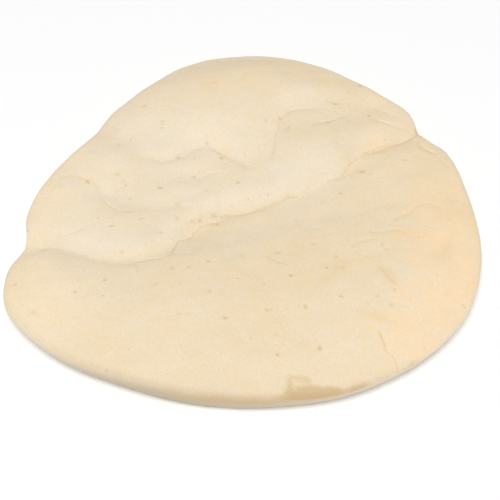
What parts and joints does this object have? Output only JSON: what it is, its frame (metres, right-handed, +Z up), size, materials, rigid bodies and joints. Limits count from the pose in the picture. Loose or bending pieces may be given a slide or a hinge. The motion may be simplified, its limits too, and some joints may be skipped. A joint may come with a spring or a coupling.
{
  "type": "pizza base",
  "caption": "Round soft flat bread base, pale and lightly baked, with a crumpled fold across its top and a blunt rounded rim.",
  "frame": {"origin": "middle of the base's outline, on the surface that it lies on", "axes": "+Z up through the bread, the front rim faces -Y, and the main fold runs roughly along +X from the left rim to the back right rim"},
  "size_m": [0.2446, 0.2364, 0.0201],
  "materials": {
    "pale_crust": "matt, soft, pale baked dough with faint tan mottling and a light dusting of flour"
  },
  "bodies": {
    "root": {"pizza_base": "pale_crust"}
  },
  "joints": []
}
